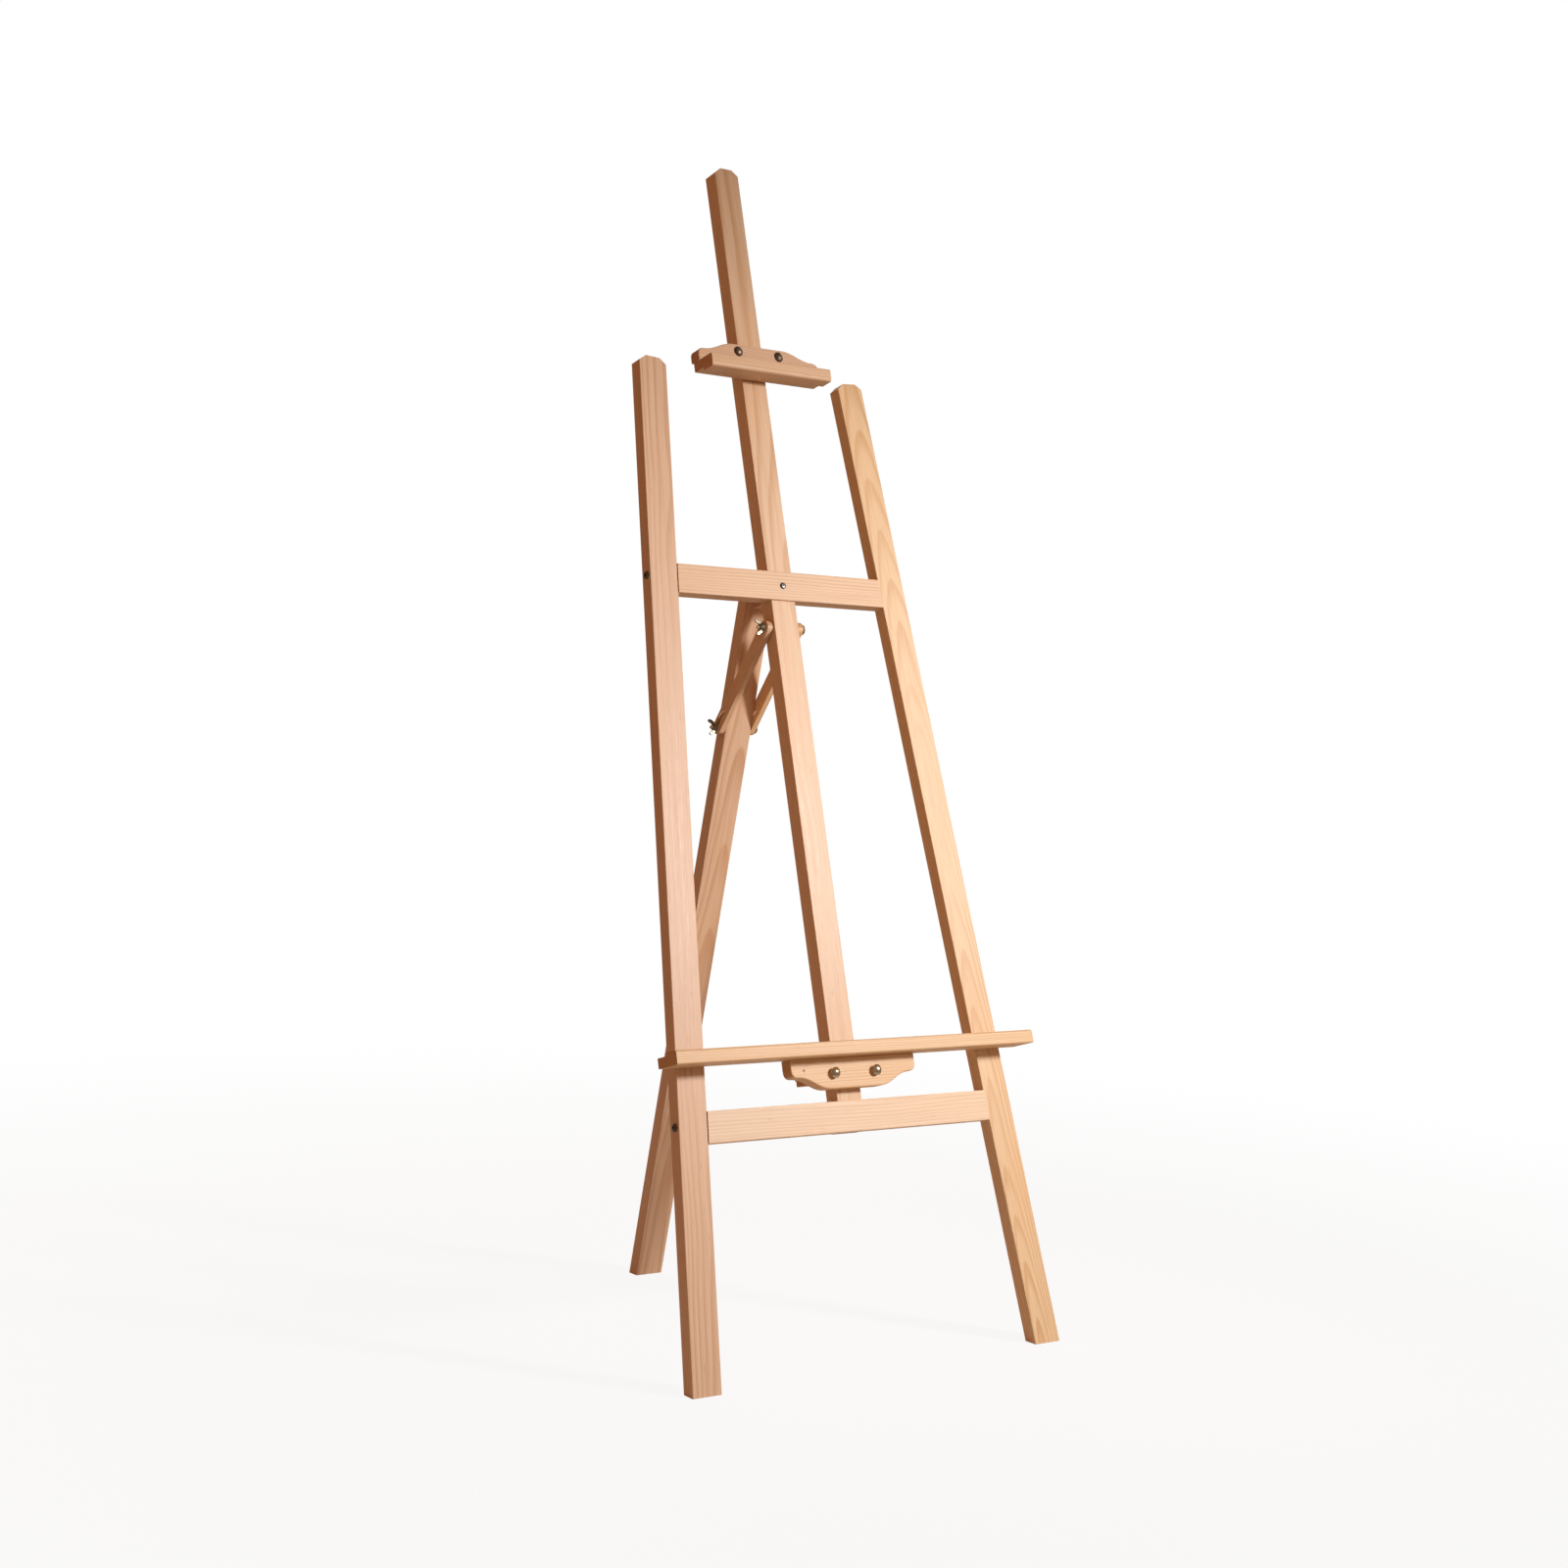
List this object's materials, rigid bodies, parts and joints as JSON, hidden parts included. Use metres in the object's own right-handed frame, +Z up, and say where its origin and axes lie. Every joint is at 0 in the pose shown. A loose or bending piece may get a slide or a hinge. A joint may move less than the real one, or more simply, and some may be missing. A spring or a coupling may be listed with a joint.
{
  "type": "artist easel",
  "caption": "Full-size wooden lyre easel: splayed front legs, central mast, hinged rear leg with side struts, and sliding canvas shelf and top clamp.",
  "frame": {"origin": "on the floor, midway between the front feet and the heel of the rear foot, on the mast's centre plane", "axes": "+Z up, +X to the right as the painter faces the easel, +Y from the front feet to the rear leg"},
  "size_m": [0.6668, 0.6336, 1.7617],
  "materials": {
    "pine": "planed, clear satin",
    "zinc_steel": "zinc plated",
    "dark_steel": "blackened"
  },
  "bodies": {
    "frame": {"left_leg": "pine", "right_leg": "pine", "upper_crossbar": "pine", "lower_crossbar": "pine", "mast": "pine", "hinge_block": "pine", "mast_screws": "dark_steel", "crossbar_bolts": "dark_steel", "barrel_nuts": "zinc_steel", "hinge_frame_leaf": "zinc_steel", "hinge_pin": "zinc_steel", "hinge_frame_screws": "zinc_steel", "upper_strut_bolt": "zinc_steel", "upper_strut_washers": "zinc_steel"},
    "rear_leg_assembly": {"rear_leg": "pine", "hinge_leg_leaf": "zinc_steel", "hinge_leg_screws": "zinc_steel", "lower_strut_bolt": "zinc_steel", "lower_strut_washer": "zinc_steel"},
    "left_strut": {"left_strut": "pine"},
    "right_strut": {"right_strut": "pine"},
    "shelf_clamp": {"canvas_shelf": "pine", "shelf_plate": "pine", "shelf_rear_block": "pine", "shelf_bolts": "zinc_steel", "shelf_washers": "zinc_steel", "shelf_screws": "zinc_steel"},
    "top_clamp": {"top_bar": "pine", "top_plate": "pine", "top_rear_block": "pine", "top_bolts": "zinc_steel", "top_washers": "zinc_steel", "top_screws": "zinc_steel"},
    "upper_strut_wing_nut": {"upper_strut_wing_nut": "zinc_steel"},
    "lower_strut_wing_nut": {"lower_strut_wing_nut": "zinc_steel"},
    "shelf_left_wing_nut": {"shelf_left_wing_nut": "zinc_steel"},
    "shelf_right_wing_nut": {"shelf_right_wing_nut": "zinc_steel"},
    "top_left_wing_nut": {"top_left_wing_nut": "zinc_steel"},
    "top_right_wing_nut": {"top_right_wing_nut": "zinc_steel"}
  },
  "joints": [
    {"name": "rear_leg_fold", "type": "hinge", "parent": "frame", "child": "rear_leg_assembly", "pos_m": [0, 0.07448, 1.11002], "axis": [1, 0, 0], "range_deg": [-28.2, 0]},
    {"name": "left_strut_pivot", "type": "hinge", "parent": "frame", "child": "left_strut", "pos_m": [0, 0.02086, 1.0449], "axis": [1, 0, 0], "range_deg": [-35.7, 0]},
    {"name": "right_strut_pivot", "type": "hinge", "parent": "frame", "child": "right_strut", "pos_m": [0, 0.02086, 1.0449], "axis": [1, 0, 0], "range_deg": [-35.7, 0]},
    {"name": "shelf_height", "type": "slide", "parent": "frame", "child": "shelf_clamp", "axis": [0, 0.294, 0.9558], "range_m": [-0.016, 0.45]},
    {"name": "top_clamp_height", "type": "slide", "parent": "frame", "child": "top_clamp", "axis": [0, 0.294, 0.9558], "range_m": [-0.3, 0.28]},
    {"name": "upper_strut_nut_turn", "type": "hinge", "parent": "frame", "child": "upper_strut_wing_nut", "pos_m": [-0.0348, 0.02086, 1.0449], "axis": [-1, 0, 0], "continuous": true},
    {"name": "lower_strut_nut_turn", "type": "hinge", "parent": "rear_leg_assembly", "child": "lower_strut_wing_nut", "pos_m": [-0.0348, 0.13098, 0.89008], "axis": [-1, 0, 0], "continuous": true},
    {"name": "shelf_left_nut_turn", "type": "hinge", "parent": "shelf_clamp", "child": "shelf_left_wing_nut", "pos_m": [-0.038, -0.1469, 0.3882], "axis": [0, 0.9558, -0.294], "continuous": true},
    {"name": "shelf_right_nut_turn", "type": "hinge", "parent": "shelf_clamp", "child": "shelf_right_wing_nut", "pos_m": [0.038, -0.1469, 0.3882], "axis": [0, 0.9558, -0.294], "continuous": true},
    {"name": "top_left_nut_turn", "type": "hinge", "parent": "top_clamp", "child": "top_left_wing_nut", "pos_m": [-0.038, 0.1783, 1.44531], "axis": [0, 0.9558, -0.294], "continuous": true},
    {"name": "top_right_nut_turn", "type": "hinge", "parent": "top_clamp", "child": "top_right_wing_nut", "pos_m": [0.038, 0.1783, 1.44531], "axis": [0, 0.9558, -0.294], "continuous": true}
  ],
  "couplings": [
    {"joint": "left_strut_pivot", "follows": "rear_leg_fold", "ratio": 1.2629},
    {"joint": "right_strut_pivot", "follows": "rear_leg_fold", "ratio": 1.2629}
  ]
}
